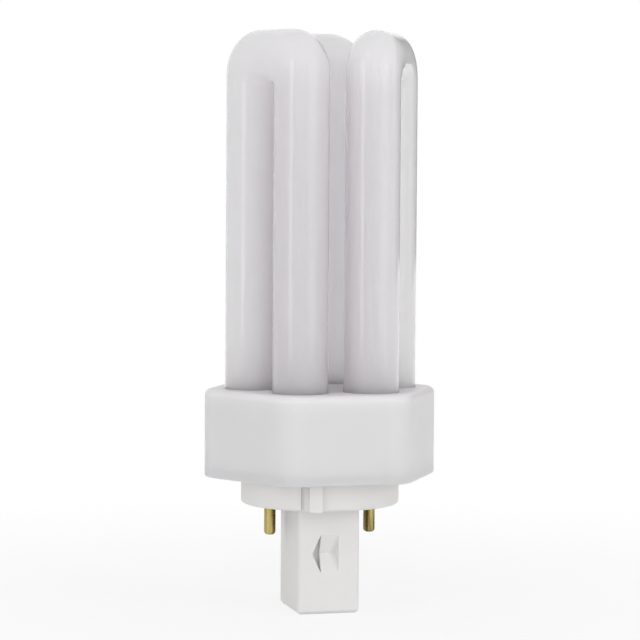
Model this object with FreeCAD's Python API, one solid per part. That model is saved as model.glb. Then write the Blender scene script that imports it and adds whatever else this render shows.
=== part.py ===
"""U shaped fluorescent lamp: three bent glass tubes on a two-pin plug cap.

Three U shaped tubes stand in a triangle, their six legs spaced evenly about the lamp's
axis. Two low cross tubes join them into one discharge path. The legs are cemented into
a six-sided collar, which a cap closes from below. The cap carries a round boss with
keying ribs, two contact pins and a rectangular plug post, which holds the starter and
its capacitor.

Millimetres. +Z runs along the lamp's axis, towards the bends. The origin is on the
axis, in the boss's lower face, which meets the lampholder. The contact pins lie on X.
"""
import FreeCAD
import Part

import math
import os

# Discharge tube
TUBE_RADIUS = 6.1
LEG_SPACING = 15.3
BEND_PLANE_DISTANCE = 13.7
BEND_COUNT = 3
BEND_REACH = 79.4
OUTER_CORNER_RADIUS = 9.0
STRIPS_PER_CORNER = 5
LEG_FOOT_GAP = 4.2
CROSS_TUBE_RADIUS = 3.2
CROSS_TUBE_RISE = 5.0
PINCH_WIDTH = 8.0
PINCH_THICKNESS = 3.0
PINCH_HEIGHT = 3.4
PINCH_DROP = 1.6

# Collar
COLLAR_MARGIN = 3.95
COLLAR_CORNER_RADIUS = 7.3
COLLAR_HEIGHT = 19.6
COLLAR_WALL = 1.8
COLLAR_TOP_THICKNESS = 2.0
COLLAR_TOP_EDGE_RADIUS = 1.5
COLLAR_FOOT_EDGE_RADIUS = 0.45
LEG_HOLE_CLEARANCE = 0.2
REBATE_DEPTH = 0.9
CEMENT_THICKNESS = 2.2
CEMENT_CLEARANCE = 0.02

# Cap
BOSS_RADIUS = 17.7
BOSS_HEIGHT = 6.3
BOSS_WALL = 1.6
BOSS_EDGE_RADIUS = 0.8
PLATE_THICKNESS = 2.0
PLATE_CLEARANCE = 0.1
POST_WIDTH = 14.1
POST_DEPTH = 17.3
POST_LENGTH = 24.0
POST_CORNER_RADIUS = 0.9
POST_FOOT_CHAMFER = 0.7
POST_SIDE_WALL = 1.3
POST_FACE_WALL = 3.4
POST_FLOOR = 1.4
RIB_ANGLE = 253.4
RIB_WIDTH = 2.8
RIB_PROUD = 1.2
GROOVE_ANGLE = 245.4
GROOVE_WIDTH = 1.9
GROOVE_DEPTH = 0.9
CATCH_CENTRE_Z = -10.5
CATCH_HEIGHT = 8.4
CATCH_DEPTH = 1.6
CATCH_LEFT = -1.85
CATCH_RIGHT = 2.25
CATCH_END_SLOPE = 0.3
POCKET_POINT = -3.85
POCKET_DEPTH = 2.6

# Contact pins
PIN_PITCH = 23.0
PIN_RADIUS = 1.3
PIN_LENGTH = 7.05
PIN_TIP_RADIUS = 0.8
PIN_SHOULDER_RADIUS = 1.7
PIN_SHOULDER_HEIGHT = 0.5
PIN_RIVET_RADIUS = 1.9
PIN_RIVET_HEIGHT = 0.6
PIN_TAIL_RADIUS = 0.9
PIN_TAIL_HEIGHT = 1.6

# Starter, capacitor and leads
STARTER_RADIUS = 2.7
STARTER_HEIGHT = 16.0
STARTER_FOOT_GAP = 0.3
STARTER_SIDE_GAP = 0.35
CAPACITOR_THICKNESS = 3.4
CAPACITOR_END_GAP = 1.5
CAPACITOR_HEIGHT = 9.0
CAPACITOR_SIDE_GAP = 0.6
CAPACITOR_EDGE_RADIUS = 0.8
LEAD_RADIUS = 0.35
LEAD_HALF_PITCH = 1.3
CAPACITOR_LEAD_HALF_PITCH = 2.0
STARTER_LEAD_HALF_PITCH = 1.2
LEAD_DROP = 1.4
LEAD_CORNER_SHARE = 0.45

# Worked out from the sizes above
UP = FreeCAD.Vector(0, 0, 1)
ORIGIN = FreeCAD.Vector(0, 0, 0)
COLLAR_FOOT_Z = BOSS_HEIGHT
COLLAR_TOP_Z = COLLAR_FOOT_Z + COLLAR_HEIGHT
COLLAR_CEILING_Z = COLLAR_TOP_Z - COLLAR_TOP_THICKNESS
COLLAR_APOTHEM = BEND_PLANE_DISTANCE + TUBE_RADIUS + COLLAR_MARGIN
INNER_APOTHEM = COLLAR_APOTHEM - COLLAR_WALL
PLATE_TOP_Z = COLLAR_FOOT_Z + PLATE_THICKNESS
HALF_GAP = LEG_SPACING / 2 - TUBE_RADIUS
OUTER_HALF_WIDTH = LEG_SPACING / 2 + TUBE_RADIUS
BEND_Z = COLLAR_TOP_Z + BEND_REACH - OUTER_HALF_WIDTH
LEG_BOTTOM_Z = PLATE_TOP_Z + LEG_FOOT_GAP
CROSS_TUBE_Z = LEG_BOTTOM_Z + CROSS_TUBE_RISE
PINCH_FOOT_Z = LEG_BOTTOM_Z - PINCH_DROP
PIN_TAIL_TOP_Z = BOSS_WALL + PIN_RIVET_HEIGHT + PIN_TAIL_HEIGHT
STARTER_FOOT_Z = -POST_LENGTH + POST_FLOOR + STARTER_FOOT_GAP
STARTER_TOP_Z = STARTER_FOOT_Z + STARTER_HEIGHT
POST_HALF_BORE = POST_WIDTH / 2 - POST_SIDE_WALL
STARTER_X = -POST_HALF_BORE + STARTER_SIDE_GAP + STARTER_RADIUS
CAPACITOR_TOP_Z = STARTER_FOOT_Z + CAPACITOR_HEIGHT
CAPACITOR_X = POST_HALF_BORE - CAPACITOR_SIDE_GAP - CAPACITOR_THICKNESS / 2
CAPACITOR_HALF_WIDTH = POST_DEPTH / 2 - POST_FACE_WALL - CAPACITOR_END_GAP
BEND_TURNS = [index * 360.0 / BEND_COUNT for index in range(BEND_COUNT)]
LEGS = [(bend, side) for bend in range(BEND_COUNT) for side in (-1, 1)]
SEAL_LEGS = {-1: (1, -1), 1: (2, 1)}


def turned(shape, degrees):
    """A copy of the shape, turned about the lamp's axis."""
    copy = shape.copy()
    copy.rotate(ORIGIN, UP, degrees)
    return copy


def block(low, high):
    """A box between two opposite corners."""
    size = [high[axis] - low[axis] for axis in range(3)]
    return Part.makeBox(*size, FreeCAD.Vector(*low))


def edges_at(shape, z):
    """The edges that lie wholly at one height."""
    return [
        edge for edge in shape.Edges
        if all(abs(vertex.Z - z) < 1e-6 for vertex in edge.Vertexes)
        and abs(edge.CenterOfMass.z - z) < 1e-6
    ]


def upright_edges(shape):
    """The straight edges that run along Z."""
    return [
        edge for edge in shape.Edges
        if len(edge.Vertexes) == 2
        and abs(edge.Vertexes[0].X - edge.Vertexes[1].X) < 1e-6
        and abs(edge.Vertexes[0].Y - edge.Vertexes[1].Y) < 1e-6
    ]


def six_sided_prism(apothem, corner_radius, low_z, high_z):
    """A prism with six flat sides and rounded corners, two of which lie on X."""
    reach = apothem / math.cos(math.radians(30))
    corners = [
        FreeCAD.Vector(reach * math.cos(turn), reach * math.sin(turn), low_z)
        for turn in (math.radians(60 * index) for index in range(7))
    ]
    prism = Part.Face(Part.makePolygon(corners)).extrude(UP * (high_z - low_z))
    return prism.makeFillet(corner_radius, upright_edges(prism))


# Discharge tube

def outer_reach(angle):
    """Distance from the crotch's axis to the bend's outer wall, which is squared off."""
    side = OUTER_HALF_WIDTH
    centre = side - OUTER_CORNER_RADIUS
    across, along = abs(math.cos(angle)), math.sin(angle)
    if along * side <= centre * across:
        return side / across
    if across * side <= centre * along:
        return side / along
    middle = centre * (across + along)
    return middle + math.sqrt(middle ** 2 - 2 * centre ** 2 + OUTER_CORNER_RADIUS ** 2)


def tube_section(angle):
    """An oval section through the bend, in the plane at this angle about the crotch's axis."""
    half_length = (outer_reach(angle) - HALF_GAP) / 2
    reach = HALF_GAP + half_length
    cosine, sine = math.cos(angle), math.sin(angle)
    stretch = half_length / TUBE_RADIUS
    placing = FreeCAD.Matrix(
        cosine * stretch, 0, -sine, cosine * reach,
        0, 1, 0, BEND_PLANE_DISTANCE,
        sine * stretch, 0, cosine, BEND_Z + sine * reach,
        0, 0, 0, 1)
    circle = Part.Wire(Part.Circle(ORIGIN, UP, TUBE_RADIUS).toShape())
    return circle.transformGeometry(placing)


def bend_angles():
    """The angles of a bend's sections, closest together round its two outer corners."""
    start = math.atan2(OUTER_HALF_WIDTH - OUTER_CORNER_RADIUS, OUTER_HALF_WIDTH)
    step = (math.pi / 2 - 2 * start) / STRIPS_PER_CORNER
    corner = [start + step * index for index in range(STRIPS_PER_CORNER + 1)]
    quarter = [0.0] + corner
    return quarter + [math.pi / 2] + [math.pi - angle for angle in reversed(quarter)]


def tube_leg(side):
    """A straight leg with a domed foot."""
    foot = FreeCAD.Vector(
        side * LEG_SPACING / 2, BEND_PLANE_DISTANCE, LEG_BOTTOM_Z + TUBE_RADIUS)
    dome = Part.makeSphere(TUBE_RADIUS, foot, UP, -90, 0, 360)
    return Part.makeCylinder(TUBE_RADIUS, BEND_Z - foot.z, foot).fuse(dome)


def bent_tube():
    """One U shaped tube, standing across +Y."""
    bend = Part.makeLoft([tube_section(angle) for angle in bend_angles()], True, True)
    return bend.fuse([tube_leg(1), tube_leg(-1)])


def leg_centre(leg, z):
    """A point on the axis of a leg, which is named by its bend and its side of it."""
    bend, side = leg
    centre = FreeCAD.Vector(side * LEG_SPACING / 2, BEND_PLANE_DISTANCE, z)
    return FreeCAD.Rotation(UP, BEND_TURNS[bend]).multVec(centre)


def cross_tube(start_leg, end_leg):
    """A short tube that joins legs of neighbouring bends, inside the collar."""
    start = leg_centre(start_leg, CROSS_TUBE_Z)
    run = leg_centre(end_leg, CROSS_TUBE_Z) - start
    return Part.makeCylinder(CROSS_TUBE_RADIUS, run.Length, start, run)


def pinch_seal(leg):
    """The flat press below a leg that holds an electrode."""
    centre = leg_centre(leg, PINCH_FOOT_Z)
    low = (centre.x - PINCH_WIDTH / 2, centre.y - PINCH_THICKNESS / 2, PINCH_FOOT_Z)
    high = (centre.x + PINCH_WIDTH / 2, centre.y + PINCH_THICKNESS / 2,
            PINCH_FOOT_Z + PINCH_HEIGHT)
    return block(low, high)


def discharge_tube():
    """The sealed glass: three bends, two cross tubes and two pinch seals."""
    bends = [turned(bent_tube(), degrees) for degrees in BEND_TURNS]
    joins = [cross_tube((2, -1), (0, 1)), cross_tube((0, -1), (1, 1))]
    seals = [pinch_seal(leg) for leg in SEAL_LEGS.values()]
    return bends[0].fuse(bends[1:] + joins + seals).removeSplitter()


def tube_cement():
    """The cement under the collar's top, round the six legs."""
    plate = six_sided_prism(
        INNER_APOTHEM, COLLAR_CORNER_RADIUS - COLLAR_WALL,
        COLLAR_CEILING_Z - CEMENT_THICKNESS, COLLAR_CEILING_Z)
    legs = [
        Part.makeCylinder(
            TUBE_RADIUS + CEMENT_CLEARANCE, COLLAR_HEIGHT, leg_centre(leg, LEG_BOTTOM_Z))
        for leg in LEGS
    ]
    return plate.cut(legs)


# Collar

def collar():
    """The six-sided shell that the legs stand in, open below and rebated for the cap."""
    shell = six_sided_prism(
        COLLAR_APOTHEM, COLLAR_CORNER_RADIUS, COLLAR_FOOT_Z, COLLAR_TOP_Z)
    shell = shell.makeFillet(COLLAR_TOP_EDGE_RADIUS, edges_at(shell, COLLAR_TOP_Z))
    shell = shell.makeFillet(COLLAR_FOOT_EDGE_RADIUS, edges_at(shell, COLLAR_FOOT_Z))
    hollow = six_sided_prism(
        INNER_APOTHEM, COLLAR_CORNER_RADIUS - COLLAR_WALL,
        COLLAR_FOOT_Z - 1, COLLAR_CEILING_Z)
    rebate = six_sided_prism(
        INNER_APOTHEM + REBATE_DEPTH, COLLAR_CORNER_RADIUS - COLLAR_WALL + REBATE_DEPTH,
        COLLAR_FOOT_Z - 1, PLATE_TOP_Z)
    holes = [
        Part.makeCylinder(
            TUBE_RADIUS + LEG_HOLE_CLEARANCE, COLLAR_HEIGHT,
            leg_centre(leg, COLLAR_CEILING_Z - 1))
        for leg in LEGS
    ]
    return shell.cut([hollow, rebate] + holes)


# Cap

def plug_post():
    """The rectangular post, still solid, with its eased corners and foot."""
    post = block(
        (-POST_WIDTH / 2, -POST_DEPTH / 2, -POST_LENGTH),
        (POST_WIDTH / 2, POST_DEPTH / 2, BOSS_WALL))
    post = post.makeFillet(POST_CORNER_RADIUS, upright_edges(post))
    return post.makeChamfer(POST_FOOT_CHAMFER, edges_at(post, -POST_LENGTH))


def notch_section(face_x, bottom_x):
    """The V of the catch's notch: where it meets the post's face, and its bottom."""
    face_y = -POST_DEPTH / 2
    return Part.makePolygon([
        FreeCAD.Vector(face_x, face_y, CATCH_CENTRE_Z + CATCH_HEIGHT / 2),
        FreeCAD.Vector(bottom_x, face_y + CATCH_DEPTH, CATCH_CENTRE_Z),
        FreeCAD.Vector(face_x, face_y, CATCH_CENTRE_Z - CATCH_HEIGHT / 2),
        FreeCAD.Vector(face_x, face_y, CATCH_CENTRE_Z + CATCH_HEIGHT / 2),
    ])


def catch_recess():
    """The holder's catch in the post's front: a wide V notch and a pointed pocket."""
    face_y = -POST_DEPTH / 2
    top = CATCH_CENTRE_Z + CATCH_HEIGHT / 2
    foot = CATCH_CENTRE_Z - CATCH_HEIGHT / 2
    notch = Part.makeLoft([
        notch_section(CATCH_LEFT, CATCH_LEFT),
        notch_section(CATCH_RIGHT, CATCH_RIGHT - CATCH_END_SLOPE),
    ], True, True)
    pocket = Part.Face(Part.makePolygon([
        FreeCAD.Vector(CATCH_LEFT, face_y, top),
        FreeCAD.Vector(POCKET_POINT, face_y, CATCH_CENTRE_Z),
        FreeCAD.Vector(CATCH_LEFT, face_y, foot),
        FreeCAD.Vector(CATCH_LEFT, face_y, top),
    ])).extrude(FreeCAD.Vector(0, POCKET_DEPTH, 0))
    return notch.fuse(pocket)


def key_block(degrees, width, inner_radius, outer_radius):
    """An upright block on the boss's rim, for a keying rib or groove."""
    key = block((inner_radius, -width / 2, 0), (outer_radius, width / 2, BOSS_HEIGHT))
    return turned(key, degrees)


def cap():
    """The plate that closes the collar, with the boss, the keys and the hollow post."""
    plate = six_sided_prism(
        INNER_APOTHEM + REBATE_DEPTH - PLATE_CLEARANCE,
        COLLAR_CORNER_RADIUS - COLLAR_WALL + REBATE_DEPTH - PLATE_CLEARANCE,
        COLLAR_FOOT_Z, PLATE_TOP_Z)
    boss = Part.makeCylinder(BOSS_RADIUS, PLATE_TOP_Z)
    boss = boss.makeFillet(BOSS_EDGE_RADIUS, edges_at(boss, 0))
    ribs = [
        key_block(RIB_ANGLE + half_turn, RIB_WIDTH, BOSS_RADIUS - BOSS_WALL / 2,
                  BOSS_RADIUS + RIB_PROUD)
        for half_turn in (0, 180)
    ]
    grooves = [
        key_block(GROOVE_ANGLE + half_turn, GROOVE_WIDTH, BOSS_RADIUS - GROOVE_DEPTH,
                  BOSS_RADIUS + RIB_PROUD)
        for half_turn in (0, 180)
    ]
    boss_hollow = Part.makeCylinder(
        BOSS_RADIUS - BOSS_WALL, PLATE_TOP_Z, FreeCAD.Vector(0, 0, BOSS_WALL))
    post_hollow = block(
        (-POST_HALF_BORE, POST_FACE_WALL - POST_DEPTH / 2, POST_FLOOR - POST_LENGTH),
        (POST_HALF_BORE, POST_DEPTH / 2 - POST_FACE_WALL, PLATE_TOP_Z))
    pin_holes = [
        Part.makeCylinder(radius, 1 + height, FreeCAD.Vector(side * PIN_PITCH / 2, 0, -1))
        for radius, height in ((PIN_RADIUS, BOSS_WALL), (PIN_SHOULDER_RADIUS, PIN_SHOULDER_HEIGHT))
        for side in (-1, 1)
    ]
    catches = [turned(catch_recess(), half_turn) for half_turn in (0, 180)]
    solid = plate.fuse([boss, plug_post()] + ribs)
    return solid.cut(grooves + [boss_hollow, post_hollow] + pin_holes + catches)


def contact_pin(side):
    """One brass pin: its rounded tip, flush shoulder, riveted head and crimped tail."""
    x = side * PIN_PITCH / 2
    shank = Part.makeCylinder(
        PIN_RADIUS, PIN_LENGTH + BOSS_WALL, FreeCAD.Vector(x, 0, -PIN_LENGTH))
    shank = shank.makeFillet(PIN_TIP_RADIUS, edges_at(shank, -PIN_LENGTH))
    shoulder = Part.makeCylinder(
        PIN_SHOULDER_RADIUS, PIN_SHOULDER_HEIGHT, FreeCAD.Vector(x, 0, 0))
    head = Part.makeCylinder(
        PIN_RIVET_RADIUS, PIN_RIVET_HEIGHT, FreeCAD.Vector(x, 0, BOSS_WALL))
    tail = Part.makeCylinder(
        PIN_TAIL_RADIUS, PIN_TAIL_HEIGHT, FreeCAD.Vector(x, 0, BOSS_WALL + PIN_RIVET_HEIGHT))
    return shank.fuse([shoulder, head, tail])


# Starter, capacitor and leads

def starter_bulb():
    """The small glass glow starter in the post, domed at its foot."""
    dome = FreeCAD.Vector(STARTER_X, 0, STARTER_FOOT_Z + STARTER_RADIUS)
    body = Part.makeCylinder(STARTER_RADIUS, STARTER_HEIGHT - STARTER_RADIUS, dome)
    return body.fuse(Part.makeSphere(STARTER_RADIUS, dome))


def starter_capacitor():
    """The film capacitor beside the starter."""
    body = block(
        (CAPACITOR_X - CAPACITOR_THICKNESS / 2, -CAPACITOR_HALF_WIDTH, STARTER_FOOT_Z),
        (CAPACITOR_X + CAPACITOR_THICKNESS / 2, CAPACITOR_HALF_WIDTH, CAPACITOR_TOP_Z))
    edge_radius = min(CAPACITOR_EDGE_RADIUS, 0.4 * CAPACITOR_THICKNESS)
    return body.makeFillet(edge_radius, upright_edges(body))


def lead(points):
    """A thin lead along straight runs that are joined by tangent arcs."""
    points = [FreeCAD.Vector(*point) for point in points]
    edges, start = [], points[0]
    for before, corner, after in zip(points, points[1:], points[2:]):
        back, forth = before - corner, after - corner
        cut = LEAD_CORNER_SHARE * min(back.Length, forth.Length)
        back.normalize()
        forth.normalize()
        entry, leaving = corner + back * cut, corner + forth * cut
        half_angle = back.getAngle(forth) / 2
        bisector = (back + forth).normalize()
        radius = cut * math.tan(half_angle)
        middle = corner + bisector * (cut / math.cos(half_angle) - radius)
        edges += [Part.LineSegment(start, entry).toShape(),
                  Part.Arc(entry, middle, leaving).toShape()]
        start = leaving
    edges.append(Part.LineSegment(start, points[-1]).toShape())
    section = Part.Wire(Part.Circle(points[0], points[1] - points[0], LEAD_RADIUS).toShape())
    return Part.Wire(edges).makePipeShell([section], True, False)


def pin_lead(side):
    """From an electrode's outer wire to the tail of its contact pin."""
    seal = leg_centre(SEAL_LEGS[side], PINCH_FOOT_Z)
    x, pin_x = seal.x + side * LEAD_HALF_PITCH, side * PIN_PITCH / 2
    return lead([
        (x, seal.y, PINCH_FOOT_Z),
        (x, seal.y, PINCH_FOOT_Z - LEAD_DROP),
        ((x + pin_x) / 2, seal.y / 2, PINCH_FOOT_Z - 2 * LEAD_DROP),
        (pin_x, 0, PIN_TAIL_TOP_Z + LEAD_DROP),
        (pin_x, 0, PIN_TAIL_TOP_Z),
    ])


def starter_lead(side):
    """From an electrode's inner wire down to the top of the starter."""
    seal = leg_centre(SEAL_LEGS[side], PINCH_FOOT_Z)
    x, starter_x = seal.x - side * LEAD_HALF_PITCH, STARTER_X + side * STARTER_LEAD_HALF_PITCH
    return lead([
        (x, seal.y, PINCH_FOOT_Z),
        (x, seal.y, PINCH_FOOT_Z - LEAD_DROP),
        ((x + starter_x) / 2, seal.y / 2, PINCH_FOOT_Z - 3 * LEAD_DROP),
        (starter_x, 0, PINCH_FOOT_Z - 6 * LEAD_DROP),
        (starter_x, 0, STARTER_TOP_Z),
    ])


def capacitor_lead(side):
    """From the capacitor's top, across to a starter lead, which it meets side on."""
    y, starter_x = side * CAPACITOR_LEAD_HALF_PITCH, STARTER_X + side * STARTER_LEAD_HALF_PITCH
    crossing_z = STARTER_TOP_Z + LEAD_DROP
    return lead([
        (CAPACITOR_X, y, CAPACITOR_TOP_Z),
        (CAPACITOR_X, y, crossing_z),
        (starter_x, y, crossing_z),
        (starter_x, side * 2 * LEAD_RADIUS, crossing_z),
    ])


def build():
    """Every sub-part by its node's name."""
    nodes = {
        "discharge_tube": discharge_tube(),
        "tube_cement": tube_cement(),
        "collar": collar(),
        "cap": cap(),
        "starter_bulb": starter_bulb(),
        "starter_capacitor": starter_capacitor(),
    }
    for name, side in (("left", -1), ("right", 1)):
        nodes["contact_pin_" + name] = contact_pin(side)
        nodes["pin_lead_" + name] = pin_lead(side)
        nodes["starter_lead_" + name] = starter_lead(side)
        nodes["capacitor_lead_" + name] = capacitor_lead(side)
    return nodes


def write(nodes):
    """Write one STEP file for each sub-part and print its volume."""
    os.makedirs("parts", exist_ok=True)
    for name, shape in nodes.items():
        box = shape.BoundBox
        print(f"{name}: solids {len(shape.Solids)}, valid {shape.isValid()}, "
              f"volume {shape.Volume:.1f}, z {box.ZMin:.2f} to {box.ZMax:.2f}")
        shape.exportStep(f"parts/{name}.step")


write(build())
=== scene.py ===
"""Looks of a plug-in fluorescent lamp with three bent tubes on a six-sided collar.

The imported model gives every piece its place. This script remakes the discharge tube as a
finer mesh, gives each piece its finish, and sets up the floor, the lights and the camera.
Lengths are in metres. +Z runs along the lamp's axis, towards the bends of its tubes.
"""
from __future__ import annotations

import logging
import math
from dataclasses import dataclass
from enum import Enum

import bmesh
import bpy
from mathutils import Matrix, Vector

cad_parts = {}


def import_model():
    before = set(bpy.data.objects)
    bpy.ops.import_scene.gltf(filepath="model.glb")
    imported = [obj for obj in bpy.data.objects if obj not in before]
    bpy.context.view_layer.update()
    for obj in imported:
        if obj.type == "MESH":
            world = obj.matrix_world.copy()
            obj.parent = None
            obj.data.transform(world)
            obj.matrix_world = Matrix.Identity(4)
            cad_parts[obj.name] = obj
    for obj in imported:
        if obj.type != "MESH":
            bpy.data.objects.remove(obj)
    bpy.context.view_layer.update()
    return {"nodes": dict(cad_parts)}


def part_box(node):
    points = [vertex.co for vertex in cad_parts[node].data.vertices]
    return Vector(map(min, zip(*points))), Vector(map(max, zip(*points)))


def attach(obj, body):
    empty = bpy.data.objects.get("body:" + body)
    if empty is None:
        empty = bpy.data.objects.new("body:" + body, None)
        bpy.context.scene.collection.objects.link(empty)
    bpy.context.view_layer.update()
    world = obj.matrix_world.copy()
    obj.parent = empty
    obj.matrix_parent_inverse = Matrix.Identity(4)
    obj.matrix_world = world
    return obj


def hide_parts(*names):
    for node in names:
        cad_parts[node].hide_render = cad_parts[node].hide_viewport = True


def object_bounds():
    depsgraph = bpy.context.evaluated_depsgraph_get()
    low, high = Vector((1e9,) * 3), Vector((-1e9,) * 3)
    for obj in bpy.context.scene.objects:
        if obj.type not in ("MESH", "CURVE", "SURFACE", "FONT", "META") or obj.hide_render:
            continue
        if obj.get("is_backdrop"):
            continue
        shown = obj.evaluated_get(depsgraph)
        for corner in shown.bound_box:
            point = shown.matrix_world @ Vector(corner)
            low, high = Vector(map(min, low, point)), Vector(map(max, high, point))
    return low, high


LOG = logging.getLogger("lamp")
BODY = "root"
MM = 0.001
Z_AXIS = Vector((0, 0, 1))
WHITE = (1.0, 1.0, 1.0, 1.0)
NOISE_LIMITS = (0.35, 0.65)

Pair = tuple[float, float]
Colour = tuple[float, float, float]
Leg = tuple[int, int]


class Slot(Enum):
    """The record's material slots."""

    GLASS = "coated_glass"
    COLLAR = "collar_plastic"
    CAP = "cap_plastic"
    BRASS = "pin_brass"
    WIRE = "lead_wire"
    CEMENT = "cement"
    STARTER = "starter_glass"
    CAPACITOR = "capacitor_case"


class Shading(Enum):
    """How sharp an edge must be, in degrees, to show as an edge."""

    MOULDED = 32.0
    BLOWN = 75.0


class Octaves(Enum):
    """How finely a noise pattern breaks up."""

    SOFT = 2.0
    PLAIN = 3.0
    FINE = 4.0


class Course(Enum):
    """How a value runs from one level to another."""

    STRAIGHT = "LINEAR"
    SMOOTH = "SMOOTHSTEP"


class Join(Enum):
    """How two shares, from 0 to 1, become one."""

    EITHER = "MAXIMUM"
    BOTH = "MULTIPLY"


class LightUse(Enum):
    """What a studio light is for: to light the lamp, or to be mirrored in its gloss."""

    LIGHT = "light"
    MIRRORED = "mirrored"


def set_inputs(node: bpy.types.Node, **values: object) -> None:
    """Set a node's inputs, each by its name with underscores for spaces."""
    for label, value in values.items():
        node.inputs[label.replace("_", " ")].default_value = value


def add_node(tree: bpy.types.NodeTree, kind: str, **values: object) -> bpy.types.Node:
    """Add a node and set its properties and inputs.

    Args:
        tree: The node tree that takes the node.
        kind: The node's type, without its ShaderNode prefix.
        values: Properties by name, or inputs by name with underscores for spaces.

    Returns:
        The new node.
    """
    node = tree.nodes.new("ShaderNode" + kind)
    for label, value in values.items():
        if hasattr(node, label):
            setattr(node, label, value)
        else:
            set_inputs(node, **{label: value})
    return node


def new_graph(name: str) -> tuple[bpy.types.Material, bpy.types.NodeTree, bpy.types.Node]:
    """Make a material with one Principled shader.

    Args:
        name: The material's name.

    Returns:
        The material, its node tree and the Principled node.
    """
    material = bpy.data.materials.new(name)
    material.use_nodes = True
    tree = material.node_tree
    return material, tree, tree.nodes["Principled BSDF"]


def noise(tree: bpy.types.NodeTree, cells: float, octaves: Octaves = Octaves.PLAIN,
          stretch: float = 1.0) -> bpy.types.NodeSocket:
    """Add a noise pattern that stays fixed to the piece.

    Args:
        tree: The node tree that takes the nodes.
        cells: Cells in a metre.
        octaves: How finely the pattern breaks up.
        stretch: The pattern's scale along Z, below 1 where it is drawn out.

    Returns:
        The pattern's value, from 0 to 1.
    """
    place = add_node(tree, "TexCoord")
    mapping = add_node(tree, "Mapping", Scale=(1.0, 1.0, stretch))
    texture = add_node(tree, "TexNoise", Scale=cells, Detail=octaves.value)
    tree.links.new(place.outputs["Object"], mapping.inputs["Vector"])
    tree.links.new(mapping.outputs["Vector"], texture.inputs["Vector"])
    return texture.outputs["Fac"]


def ramp(tree: bpy.types.NodeTree, value: bpy.types.NodeSocket, limits: Pair, levels: Pair,
         course: Course = Course.STRAIGHT) -> bpy.types.NodeSocket:
    """Run from one level to another as a value goes from limit to limit.

    Args:
        tree: The node tree that takes the node.
        value: The value.
        limits: The values between which the level changes.
        levels: The levels at those limits.
        course: How the level runs between them.

    Returns:
        The level.
    """
    node = add_node(tree, "MapRange", interpolation_type=course.value, From_Min=limits[0],
                    From_Max=limits[1], To_Min=levels[0], To_Max=levels[1])
    tree.links.new(value, node.inputs["Value"])
    return node.outputs["Result"]


def join(tree: bpy.types.NodeTree, how: Join, first: bpy.types.NodeSocket,
         second: bpy.types.NodeSocket) -> bpy.types.NodeSocket:
    """Make one share of two.

    Args:
        tree: The node tree that takes the node.
        how: How the two become one.
        first: A share, from 0 to 1.
        second: Another share, from 0 to 1.

    Returns:
        The joint share.
    """
    node = add_node(tree, "Math", operation=how.value)
    tree.links.new(first, node.inputs[0])
    tree.links.new(second, node.inputs[1])
    return node.outputs["Value"]


def mix_shaders(tree: bpy.types.NodeTree, share: bpy.types.NodeSocket,
                first: bpy.types.NodeSocket, second: bpy.types.NodeSocket) -> bpy.types.NodeSocket:
    """Mix two shaders.

    Args:
        tree: The node tree that takes the node.
        share: How much of the second shader shows, from 0 to 1.
        first: The first shader.
        second: The second shader.

    Returns:
        The mixed shader.
    """
    node = add_node(tree, "MixShader")
    tree.links.new(share, node.inputs["Fac"])
    tree.links.new(first, node.inputs[1])
    tree.links.new(second, node.inputs[2])
    return node.outputs["Shader"]


def add_tones(tree: bpy.types.NodeTree, shader: bpy.types.Node, pattern: bpy.types.NodeSocket,
              first: Colour, second: Colour) -> None:
    """Colour a surface in clouds of two tones.

    Args:
        tree: The node tree that takes the nodes.
        shader: The Principled node.
        pattern: The noise pattern that the clouds follow.
        first: The tone where the pattern is low.
        second: The tone where it is high.
    """
    blend = add_node(tree, "Mix", data_type="RGBA")
    tree.links.new(ramp(tree, pattern, NOISE_LIMITS, (0.0, 1.0)), blend.inputs["Factor"])
    sockets = [socket for socket in blend.inputs if socket.type == "RGBA"]
    for socket, tone in zip(sockets, (first, second)):
        socket.default_value = (*tone, 1.0)
    mixed = next(socket for socket in blend.outputs if socket.type == "RGBA")
    tree.links.new(mixed, shader.inputs["Base Color"])


def add_gloss(tree: bpy.types.NodeTree, shader: bpy.types.Node, pattern: bpy.types.NodeSocket,
              levels: Pair) -> None:
    """Make a surface unevenly rough, from the first level to the second as a pattern rises."""
    tree.links.new(ramp(tree, pattern, NOISE_LIMITS, levels), shader.inputs["Roughness"])


def add_bump(tree: bpy.types.NodeTree, shader: bpy.types.Node, pattern: bpy.types.NodeSocket,
             strength: float, height: float, layer: str = "Normal") -> None:
    """Raise a surface by a pattern.

    Args:
        tree: The node tree that takes the node.
        shader: The Principled node.
        pattern: The noise pattern that the bump follows.
        strength: How much of the bump shows.
        height: The bump's height in metres.
        layer: The normal that it bends: the surface's own, or its coat's.
    """
    node = add_node(tree, "Bump", Strength=strength, Distance=height)
    tree.links.new(pattern, node.inputs["Height"])
    tree.links.new(node.outputs["Normal"], shader.inputs[layer])


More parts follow.
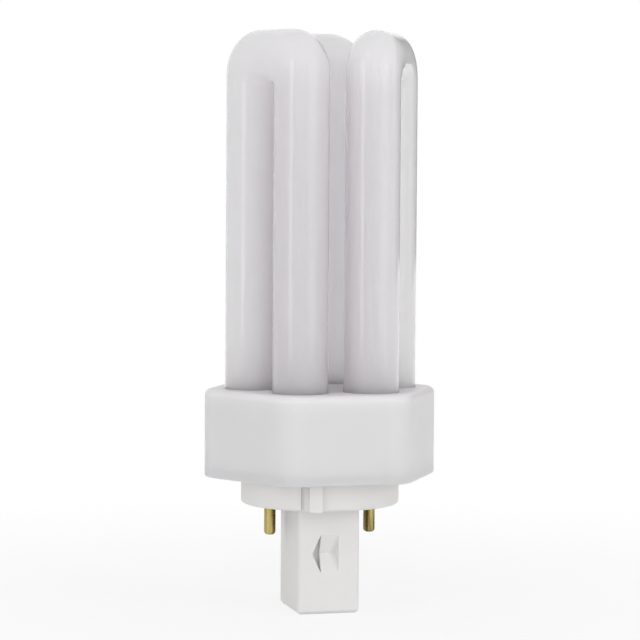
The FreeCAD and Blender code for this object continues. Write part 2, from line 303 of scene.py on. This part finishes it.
@dataclass(frozen=True)
class CoatedGlass:
    """Clear drawn glass over a white powder coating."""

    slot: Slot
    powder: Colour
    thin_powder: Colour
    powder_roughness: float = 0.55
    powder_shine: float = 0.2
    powder_cells: float = 260.0
    depth: float = 0.1
    depth_radius: Colour = (1.0, 1.0, 1.0)
    glass_roughness: float = 0.06
    glass_index: float = 1.5
    drawing_cells: float = 45.0
    drawing_stretch: float = 0.12
    drawing_height: float = 0.0004
    drawing_strength: float = 0.12

    def make(self) -> bpy.types.Material:
        """Build the finish: cloudy powder below, and a smooth, faintly drawn coat above.

        Returns:
            The material.
        """
        material, tree, shader = new_graph(self.slot.value)
        clouds = noise(tree, self.powder_cells, Octaves.FINE)
        add_tones(tree, shader, clouds, self.powder, self.thin_powder)
        set_inputs(shader, Roughness=self.powder_roughness, Specular_IOR_Level=self.powder_shine)
        set_inputs(shader, Subsurface_Weight=1.0, Subsurface_Radius=self.depth_radius,
                   Subsurface_Scale=self.depth)
        set_inputs(shader, Coat_Weight=1.0, Coat_Roughness=self.glass_roughness,
                   Coat_IOR=self.glass_index)
        drawn = noise(tree, self.drawing_cells, Octaves.SOFT, self.drawing_stretch)
        add_bump(tree, shader, drawn, self.drawing_strength, self.drawing_height, "Coat Normal")
        return material


@dataclass(frozen=True)
class MouldedPlastic:
    """White moulded plastic with a fine satin grain."""

    slot: Slot
    colour: Colour
    warm_colour: Colour
    cloud_cells: float = 40.0
    roughness: float = 0.42
    roughness_swing: float = 0.05
    gloss_cells: float = 120.0
    grain_cells: float = 2600.0
    grain_height: float = 0.00003
    grain_strength: float = 0.25
    depth: float = 0.0015
    depth_share: float = 0.15
    depth_radius: Colour = (1.0, 0.95, 0.9)

    def make(self) -> bpy.types.Material:
        """Build the finish: a faint cloud of tone, uneven gloss and a fine moulded grain.

        Returns:
            The material.
        """
        material, tree, shader = new_graph(self.slot.value)
        add_tones(tree, shader, noise(tree, self.cloud_cells), self.colour, self.warm_colour)
        levels = (self.roughness - self.roughness_swing, self.roughness + self.roughness_swing)
        add_gloss(tree, shader, noise(tree, self.gloss_cells), levels)
        set_inputs(shader, Subsurface_Weight=self.depth_share,
                   Subsurface_Radius=self.depth_radius, Subsurface_Scale=self.depth)
        grain = noise(tree, self.grain_cells, Octaves.SOFT)
        add_bump(tree, shader, grain, self.grain_strength, self.grain_height)
        return material


@dataclass(frozen=True)
class DrawnMetal:
    """Drawn metal with fine lines along its length and clouds of tone: tarnish on the wires, and
    on the pins, drawn out along Z with a near-black tone, painted dark reflection streaks.
    """

    slot: Slot
    bright: Colour
    # The dull tone is tarnish on the wires; on the pins it is a near-black painted dark
    # reflection.
    dull_and_reflected_dark: Colour
    cloud_cells: float = 350.0
    cloud_stretch: float = 1.0
    roughness_levels: Pair = (0.22, 0.40)
    gloss_cells: float = 700.0
    line_cells: float = 3000.0
    line_stretch: float = 0.02
    line_height: float = 0.00002
    line_strength: float = 0.15

    def make(self) -> bpy.types.Material:
        """Build the finish: clouds of tone over metal (tarnish on the wires, painted dark and
        bright reflection streaks on the pins), with lines drawn along Z.

        Returns:
            The material.
        """
        material, tree, shader = new_graph(self.slot.value)
        # The clouds paint tone: tarnish, and where drawn out along Z with a near-black tone,
        # painted reflection streaks.
        clouds = noise(tree, self.cloud_cells, Octaves.FINE, self.cloud_stretch)
        add_tones(tree, shader, clouds, self.bright, self.dull_and_reflected_dark)
        set_inputs(shader, Metallic=1.0)
        add_gloss(tree, shader, noise(tree, self.gloss_cells), self.roughness_levels)
        lines = noise(tree, self.line_cells, Octaves.SOFT, self.line_stretch)
        add_bump(tree, shader, lines, self.line_strength, self.line_height)
        return material


@dataclass(frozen=True)
class PlainSolid:
    """A dull hidden material: cement, dipped resin or thin glass."""

    slot: Slot
    colour: Colour
    shade: Colour
    cloud_cells: float
    roughness: float
    grain_cells: float
    grain_height: float
    grain_strength: float = 0.5
    clear: float = 0.0

    def make(self) -> bpy.types.Material:
        """Build the finish: two tones, one roughness and a grain.

        Returns:
            The material.
        """
        material, tree, shader = new_graph(self.slot.value)
        clouds = noise(tree, self.cloud_cells, Octaves.FINE)
        add_tones(tree, shader, clouds, self.colour, self.shade)
        set_inputs(shader, Roughness=self.roughness, Transmission_Weight=self.clear)
        grain = noise(tree, self.grain_cells, Octaves.FINE)
        add_bump(tree, shader, grain, self.grain_strength, self.grain_height)
        return material


FINISHES = (
    CoatedGlass(Slot.GLASS, powder=(0.85, 0.797, 0.85), thin_powder=(0.84, 0.788, 0.838)),
    MouldedPlastic(Slot.COLLAR, colour=(0.80, 0.784, 0.79), warm_colour=(0.785, 0.769, 0.772),
                   depth=0.006, depth_share=0.7),
    MouldedPlastic(Slot.CAP, colour=(0.785, 0.778, 0.772), warm_colour=(0.77, 0.76, 0.752),
                   grain_cells=2200.0),
    # The pins' near-black tone, drawn into streaks along Z, paints dark and bright reflection
    # lines on the brass.
    DrawnMetal(Slot.BRASS, bright=(0.56, 0.46, 0.17), dull_and_reflected_dark=(0.09, 0.06, 0.018),
               cloud_cells=800.0, cloud_stretch=0.08, roughness_levels=(0.14, 0.32),
               gloss_cells=1600.0),
    DrawnMetal(Slot.WIRE, bright=(0.66, 0.65, 0.62), dull_and_reflected_dark=(0.45, 0.44, 0.41)),
    PlainSolid(Slot.CEMENT, colour=(0.72, 0.70, 0.65), shade=(0.60, 0.58, 0.53),
               cloud_cells=225.0, roughness=0.9, grain_cells=900.0, grain_height=0.0002),
    PlainSolid(Slot.STARTER, colour=(0.80, 0.85, 0.86), shade=(0.74, 0.80, 0.82),
               cloud_cells=75.0, roughness=0.05, grain_cells=300.0, grain_height=0.00002,
               clear=0.8),
    PlainSolid(Slot.CAPACITOR, colour=(0.72, 0.50, 0.16), shade=(0.60, 0.40, 0.12),
               cloud_cells=125.0, roughness=0.35, grain_cells=500.0, grain_height=0.0001),
)

WORN_BY = {
    Slot.GLASS: ("discharge_tube",),
    Slot.COLLAR: ("collar",),
    Slot.CAP: ("cap",),
    Slot.BRASS: ("contact_pin_left", "contact_pin_right"),
    Slot.WIRE: ("pin_lead_left", "pin_lead_right", "starter_lead_left", "starter_lead_right",
                "capacitor_lead_left", "capacitor_lead_right"),
    Slot.CEMENT: ("tube_cement",),
    Slot.STARTER: ("starter_bulb",),
    Slot.CAPACITOR: ("starter_capacitor",),
}


def make_finishes() -> dict[Slot, bpy.types.Material]:
    """Make each finish once."""
    return {finish.slot: finish.make() for finish in FINISHES}


def dress(piece: bpy.types.Object, material: bpy.types.Material) -> None:
    """Give a piece one material."""
    piece.data.materials.clear()
    piece.data.materials.append(material)


def as_piece(name: str, mesh: bmesh.types.BMesh, shading: Shading) -> bpy.types.Object:
    """Turn a finished bmesh into a smooth-shaded object at the origin.

    Args:
        name: The piece's name.
        mesh: The bmesh, which is freed.
        shading: Which edges stay sharp.

    Returns:
        The new object.
    """
    bmesh.ops.recalc_face_normals(mesh, faces=mesh.faces)
    data = bpy.data.meshes.new(name)
    mesh.to_mesh(data)
    mesh.free()
    data.shade_smooth()
    data.set_sharp_from_angle(angle=math.radians(shading.value))
    piece = bpy.data.objects.new(name, data)
    bpy.context.scene.collection.objects.link(piece)
    return piece


def edges_at(verts: list[bmesh.types.BMVert]) -> list[bmesh.types.BMEdge]:
    """The edges that meet at any of these vertices, each of them once."""
    return list(dict.fromkeys(edge for vert in verts for edge in vert.link_edges))


def sweep_ring(mesh: bmesh.types.BMesh, places: list[Matrix], segments: int) -> None:
    """Extrude a unit circle through a row of places and close both ends to a point.

    Args:
        mesh: The bmesh that takes the tube.
        places: Where the circle goes, each as a matrix.
        segments: Points round the circle.
    """
    circle = bmesh.ops.create_circle(
        mesh, cap_ends=False, radius=1.0, segments=segments, matrix=places[0])["verts"]
    start = edges_at(circle)
    edges = start
    for before, after in zip(places, places[1:]):
        made = bmesh.ops.extrude_edge_only(mesh, edges=edges)["geom"]
        verts = [item for item in made if isinstance(item, bmesh.types.BMVert)]
        bmesh.ops.transform(mesh, matrix=after @ before.inverted(), verts=verts)
        ring = set(verts)
        edges = [item for item in made
                 if isinstance(item, bmesh.types.BMEdge) and ring.issuperset(item.verts)]
    bmesh.ops.collapse(mesh, edges=start)
    bmesh.ops.collapse(mesh, edges=edges)


@dataclass
class BentTubes:
    """Three U shaped glass tubes, joined in series low in the collar.

    A leg is named by the bend that it belongs to, from 0, and its side of it, 1 or -1.
    """

    material: bpy.types.Material
    radius: float = 6.1 * MM
    leg_spacing: float = 15.3 * MM
    plane_distance: float = 13.7 * MM
    outer_corner: float = 9.0 * MM
    bend_count: int = 3
    segments: int = 72
    bend_steps: int = 54
    dome_steps: int = 10
    leg_steps: int = 6
    pole: float = 0.02
    crossings: tuple[tuple[Leg, Leg], ...] = (((2, -1), (0, 1)), ((0, -1), (1, 1)))
    cross_radius: float = 3.2 * MM
    cross_rise: float = 5.0 * MM
    cross_segments: int = 36
    sealed_legs: tuple[Leg, ...] = ((1, -1), (2, 1))
    seal_size: tuple[float, float, float] = (8.0 * MM, 3.0 * MM, 3.4 * MM)
    seal_drop: float = 1.6 * MM
    seal_edge: float = 0.4 * MM
    seal_edge_steps: int = 3

    def __post_init__(self) -> None:
        """Take the tubes' height from the frame."""
        low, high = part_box("discharge_tube")
        self.foot_z = low.z + self.seal_drop
        self.half_gap = self.leg_spacing / 2 - self.radius
        self.outer_half = self.leg_spacing / 2 + self.radius
        self.bend_z = high.z - self.outer_half

    def outer_reach(self, angle: float) -> float:
        """Measure from the crotch's axis to the bend's squared outer wall.

        Args:
            angle: The direction in the bend's plane, from 0 at one leg to pi at the other.

        Returns:
            The distance in metres.
        """
        centre = self.outer_half - self.outer_corner
        across, along = abs(math.cos(angle)), math.sin(angle)
        if along * self.outer_half <= centre * across:
            return self.outer_half / across
        if across * self.outer_half <= centre * along:
            return self.outer_half / along
        middle = centre * (across + along)
        return middle + math.sqrt(middle ** 2 - 2 * centre ** 2 + self.outer_corner ** 2)

    def leg_place(self, side: int, z: float, radius: float) -> Matrix:
        """Lay a circle level on a leg, turned over on one side so that the sweep runs on.

        Args:
            side: The leg's side of its bend.
            z: The circle's height.
            radius: The circle's radius.

        Returns:
            The place of a unit circle.
        """
        turn = 0.0 if side > 0 else math.pi
        return (Matrix.Translation((side * self.leg_spacing / 2, self.plane_distance, z))
                @ Matrix.Rotation(-turn, 4, "Y")
                @ Matrix.Diagonal((radius, radius, radius, 1.0)))

    def bend_place(self, angle: float) -> Matrix:
        """Lay an oval across the bend, in a plane through the crotch's axis.

        Args:
            angle: The direction in the bend's plane, from 0 at one leg to pi at the other.

        Returns:
            The place of a unit circle.
        """
        half_length = (self.outer_reach(angle) - self.half_gap) / 2
        reach = self.half_gap + half_length
        centre = Vector((reach * math.cos(angle), self.plane_distance,
                         self.bend_z + reach * math.sin(angle)))
        return (Matrix.Translation(centre)
                @ Matrix.Rotation(-angle, 4, "Y")
                @ Matrix.Diagonal((half_length, self.radius, self.radius, 1.0)))

    def leg_places(self, side: int) -> list[Matrix]:
        """Lay circles up the domed foot and the straight leg, from the pole upwards.

        Args:
            side: The leg's side of its bend.

        Returns:
            The places of a unit circle.
        """
        dome_z = self.foot_z + self.radius
        places = []
        for step in range(self.dome_steps + 1):
            turn = math.pi / 2 * step / self.dome_steps
            size = max(math.sin(turn), self.pole)
            places.append(self.leg_place(
                side, dome_z - self.radius * math.cos(turn), self.radius * size))
        run = self.bend_z - dome_z
        for step in range(1, self.leg_steps):
            places.append(self.leg_place(side, dome_z + run * step / self.leg_steps, self.radius))
        return places

    def one_tube(self, mesh: bmesh.types.BMesh) -> None:
        """Sweep one U shaped tube, standing across +Y.

        Args:
            mesh: The bmesh that takes the tube.
        """
        places = self.leg_places(1)
        places += [self.bend_place(math.pi * step / self.bend_steps)
                   for step in range(self.bend_steps + 1)]
        places += reversed(self.leg_places(-1))
        sweep_ring(mesh, places, self.segments)

    def leg_centre(self, leg: Leg, z: float) -> Vector:
        """Find a point on a leg's axis.

        Args:
            leg: The leg.
            z: The point's height.

        Returns:
            The point.
        """
        bend, side = leg
        turn = Matrix.Rotation(math.tau * bend / self.bend_count, 3, "Z")
        return turn @ Vector((side * self.leg_spacing / 2, self.plane_distance, z))

    def cross_tube(self, mesh: bmesh.types.BMesh, first: Leg, second: Leg) -> None:
        """Join legs of neighbouring bends by a short tube, inside the collar.

        Args:
            mesh: The bmesh that takes the tube.
            first: The leg that it starts in.
            second: The leg that it ends in.
        """
        start = self.leg_centre(first, self.foot_z + self.cross_rise)
        end = self.leg_centre(second, self.foot_z + self.cross_rise)
        run = end - start
        place = (Matrix.Translation((start + end) / 2)
                 @ run.to_track_quat("Z", "Y").to_matrix().to_4x4())
        bmesh.ops.create_cone(
            mesh, cap_ends=True, segments=self.cross_segments, radius1=self.cross_radius,
            radius2=self.cross_radius, depth=run.length, matrix=place)

    def pinch_seal(self, mesh: bmesh.types.BMesh, leg: Leg) -> None:
        """Press the glass flat below a leg, where an electrode's wires come out.

        Args:
            mesh: The bmesh that takes the seal.
            leg: The leg.
        """
        middle = self.foot_z - self.seal_drop + self.seal_size[2] / 2
        place = (Matrix.Translation(self.leg_centre(leg, middle))
                 @ Matrix.Diagonal((*self.seal_size, 1.0)))
        block = bmesh.ops.create_cube(mesh, size=1.0, matrix=place)["verts"]
        bmesh.ops.bevel(mesh, geom=edges_at(block), offset=self.seal_edge,
                        segments=self.seal_edge_steps, affect="EDGES", profile=0.5, material=-1)

    def build(self) -> bpy.types.Object:
        """Make the three tubes and put the piece in the CAD tube's place.

        Returns:
            The glass piece.
        """
        mesh = bmesh.new()
        for index in range(self.bend_count):
            before = set(mesh.verts)
            self.one_tube(mesh)
            fresh = [vert for vert in mesh.verts if vert not in before]
            turn = Matrix.Rotation(math.tau * index / self.bend_count, 4, "Z")
            bmesh.ops.transform(mesh, matrix=turn, verts=fresh)
        for first, second in self.crossings:
            self.cross_tube(mesh, first, second)
        for leg in self.sealed_legs:
            self.pinch_seal(mesh, leg)
        piece = as_piece("glass_tubes", mesh, Shading.BLOWN)
        dress(piece, self.material)
        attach(piece, BODY)
        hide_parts("discharge_tube")
        return piece


@dataclass
class CadPieces:
    """The CAD nodes that keep their own mesh, with the finish of each."""

    nodes: dict[str, bpy.types.Object]
    finishes: dict[Slot, bpy.types.Material]

    def build(self) -> list[bpy.types.Object]:
        """Dress every node.

        Returns:
            The nodes that still show.
        """
        for slot, names in WORN_BY.items():
            for name in names:
                dress(self.nodes[name], self.finishes[slot])
        return [node for node in self.nodes.values() if not node.hide_render]


@dataclass(frozen=True)
class StudioLight:
    """A rectangular light, by its turn to the camera's right and its height in degrees."""

    name: str
    right: float
    up: float
    power: float
    use: LightUse = LightUse.LIGHT
    size: Pair = (0.06, 0.5)
    distance: float = 0.9


STUDIO_LIGHTS = (
    StudioLight("left", right=-42, up=10, power=1.1),
    StudioLight("front", right=0, up=5, power=1.3),
    StudioLight("right", right=60, up=10, power=1.4),
    StudioLight("top", right=0, up=55, power=0.6),
    StudioLight("strip", right=-42, up=8, power=0.65, use=LightUse.MIRRORED, size=(0.2, 0.6),
                distance=0.8),
    StudioLight("sheet", right=48, up=8, power=0.9, use=LightUse.MIRRORED, size=(0.5, 0.7),
                distance=0.8),
)


def facing(place: Vector, aim: Vector) -> Matrix:
    """The place of a light or a camera that looks from one point at another."""
    return Matrix.Translation(place) @ (aim - place).to_track_quat("-Z", "Y").to_matrix().to_4x4()


@dataclass
class Studio:
    """The floor, the background, the lights and the camera."""

    view_turn: float = math.radians(14.36)
    camera_distance: float = 0.62
    camera_height: float = 0.0796
    aim_height: float = 0.04094
    aim_side: float = -0.0002
    roll: float = math.radians(0.37)
    lens: float = 156.09
    nearest: float = 0.01
    floor_half: float = 1.5
    floor_squares: int = 4
    floor_drop: float = 0.00005
    floor_cells: float = 30.0
    floor_levels: Pair = (0.89, 0.9)
    floor_roughness: float = 0.9
    shadow_limits: Pair = (0.03, 0.22)
    plain_levels: Pair = (0.8, 1.0)
    background_white: float = 1.0
    world_light: float = 0.63
    screen_turn: float = 140.0
    screen_edge: Pair = (0.82, 0.90)
    screen_light: float = 0.05

    def direction(self, right: float, up: float) -> Vector:
        """Point from the lamp's axis to a place in the studio.

        Args:
            right: The turn to the camera's right, in degrees.
            up: The height above level, in degrees.

        Returns:
            The direction, one metre long.
        """
        turn = -math.pi / 2 - self.view_turn + math.radians(right)
        rise = math.radians(up)
        return Vector((math.cos(turn) * math.cos(rise), math.sin(turn) * math.cos(rise),
                       math.sin(rise)))

    def camera(self) -> None:
        """Put the camera at the photograph's place."""
        toward = self.direction(0, 0)
        side = toward.cross(Z_AXIS) * -1
        place = toward * self.camera_distance + Z_AXIS * self.camera_height
        aim = Z_AXIS * self.aim_height + side * self.aim_side
        data = bpy.data.cameras.new("camera")
        data.lens = self.lens
        data.clip_start = self.nearest
        camera = bpy.data.objects.new("camera", data)
        camera.matrix_world = facing(place, aim) @ Matrix.Rotation(self.roll, 4, "Z")
        bpy.context.scene.collection.objects.link(camera)
        bpy.context.scene.camera = camera

    def hang(self, light: StudioLight) -> None:
        """Hang a light that faces the middle of the lamp.

        Args:
            light: Its place, size, power and use.
        """
        data = bpy.data.lights.new(light.name, "AREA")
        data.shape = "RECTANGLE"
        data.size, data.size_y = light.size
        data.energy = light.power
        hung = bpy.data.objects.new(light.name, data)
        middle = Z_AXIS * self.aim_height
        place = middle + self.direction(light.right, light.up) * light.distance
        hung.matrix_world = facing(place, middle)
        hung.visible_diffuse = light.use is LightUse.LIGHT
        hung.visible_glossy = light.use is LightUse.MIRRORED
        bpy.context.scene.collection.objects.link(hung)

    def floor(self) -> None:
        """Lay a white floor at the lamp's foot, which keeps its shadow."""
        mesh = bmesh.new()
        bmesh.ops.create_grid(mesh, x_segments=self.floor_squares, y_segments=self.floor_squares,
                              size=self.floor_half)
        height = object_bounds()[0][2] - self.floor_drop
        bmesh.ops.translate(mesh, verts=mesh.verts, vec=(0, 0, height))
        floor = as_piece("floor", mesh, Shading.MOULDED)
        dress(floor, self.floor_material())
        floor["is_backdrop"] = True

    def floor_material(self) -> bpy.types.Material:
        """White for the camera and through gloss or glass, and white paper for the light.

        Returns:
            The material.
        """
        material, tree, shader = new_graph("floor_white")
        grain = ramp(tree, noise(tree, self.floor_cells), NOISE_LIMITS, self.floor_levels)
        tone = add_node(tree, "CombineColor")
        for channel in ("Red", "Green", "Blue"):
            tree.links.new(grain, tone.inputs[channel])
        tree.links.new(tone.outputs["Color"], shader.inputs["Base Color"])
        set_inputs(shader, Roughness=self.floor_roughness)
        rays = add_node(tree, "LightPath").outputs
        mirrored = join(tree, Join.EITHER, rays["Is Glossy Ray"], rays["Is Transmission Ray"])
        seen = join(tree, Join.EITHER, rays["Is Camera Ray"], mirrored)
        share = join(tree, Join.BOTH, seen, self.plain_share(tree))
        glow = add_node(tree, "Emission", Strength=self.background_white)
        surface = mix_shaders(tree, share, shader.outputs["BSDF"], glow.outputs["Emission"])
        tree.links.new(surface, tree.nodes["Material Output"].inputs["Surface"])
        return material

    def plain_share(self, tree: bpy.types.NodeTree) -> bpy.types.NodeSocket:
        """How plain the floor is: it keeps the shadow near the lamp and is white beyond it.

        Args:
            tree: The node tree that takes the nodes.

        Returns:
            The share, from 0 to 1.
        """
        place = add_node(tree, "TexCoord")
        reach = add_node(tree, "VectorMath", operation="LENGTH")
        tree.links.new(place.outputs["Object"], reach.inputs[0])
        return ramp(tree, reach.outputs["Value"], self.shadow_limits, self.plain_levels,
                    Course.SMOOTH)

    def gloss_light(self, tree: bpy.types.NodeTree) -> bpy.types.NodeSocket:
        """What gloss sees of the surround: white, with a dim screen behind and to the right.

        Args:
            tree: The node tree that takes the nodes.

        Returns:
            The surround's strength.
        """
        ray = add_node(tree, "TexCoord")
        toward = add_node(tree, "VectorMath", operation="DOT_PRODUCT")
        toward.inputs[1].default_value = self.direction(self.screen_turn, 0)
        tree.links.new(ray.outputs["Generated"], toward.inputs[0])
        return ramp(tree, toward.outputs["Value"], self.screen_edge,
                    (self.background_white, self.screen_light), Course.SMOOTH)

    def world(self) -> None:
        """Set a white surround: plain to the camera, softer as light, screened in gloss."""
        world = bpy.data.worlds.new("surround")
        world.use_nodes = True
        tree = world.node_tree
        light = tree.nodes["Background"]
        set_inputs(light, Color=WHITE, Strength=self.world_light)
        gloss = add_node(tree, "Background", Color=WHITE)
        tree.links.new(self.gloss_light(tree), gloss.inputs["Strength"])
        plain = add_node(tree, "Background", Color=WHITE, Strength=self.background_white)
        rays = add_node(tree, "LightPath").outputs
        seen = join(tree, Join.EITHER, rays["Is Camera Ray"], rays["Is Transmission Ray"])
        unseen = mix_shaders(tree, rays["Is Glossy Ray"], light.outputs["Background"],
                             gloss.outputs["Background"])
        surface = mix_shaders(tree, seen, unseen, plain.outputs["Background"])
        tree.links.new(surface, tree.nodes["World Output"].inputs["Surface"])
        bpy.context.scene.world = world

    def build(self) -> None:
        """Set up everything round the lamp."""
        self.camera()
        self.world()
        for light in STUDIO_LIGHTS:
            self.hang(light)
        self.floor()


def main() -> None:
    """Load the frame, build and dress each piece, and light the whole."""
    logging.basicConfig(level=logging.INFO, format="%(name)s: %(message)s")
    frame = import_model()
    finishes = make_finishes()
    tubes = BentTubes(finishes[Slot.GLASS]).build()
    LOG.info("%s has %d faces", tubes.name, len(tubes.data.polygons))
    for node in CadPieces(frame["nodes"], finishes).build():
        LOG.info("%s keeps its own mesh", node.name)
    Studio().build()
    bpy.context.scene.view_settings.view_transform = "Standard"


if __name__ == "__main__":
    main()
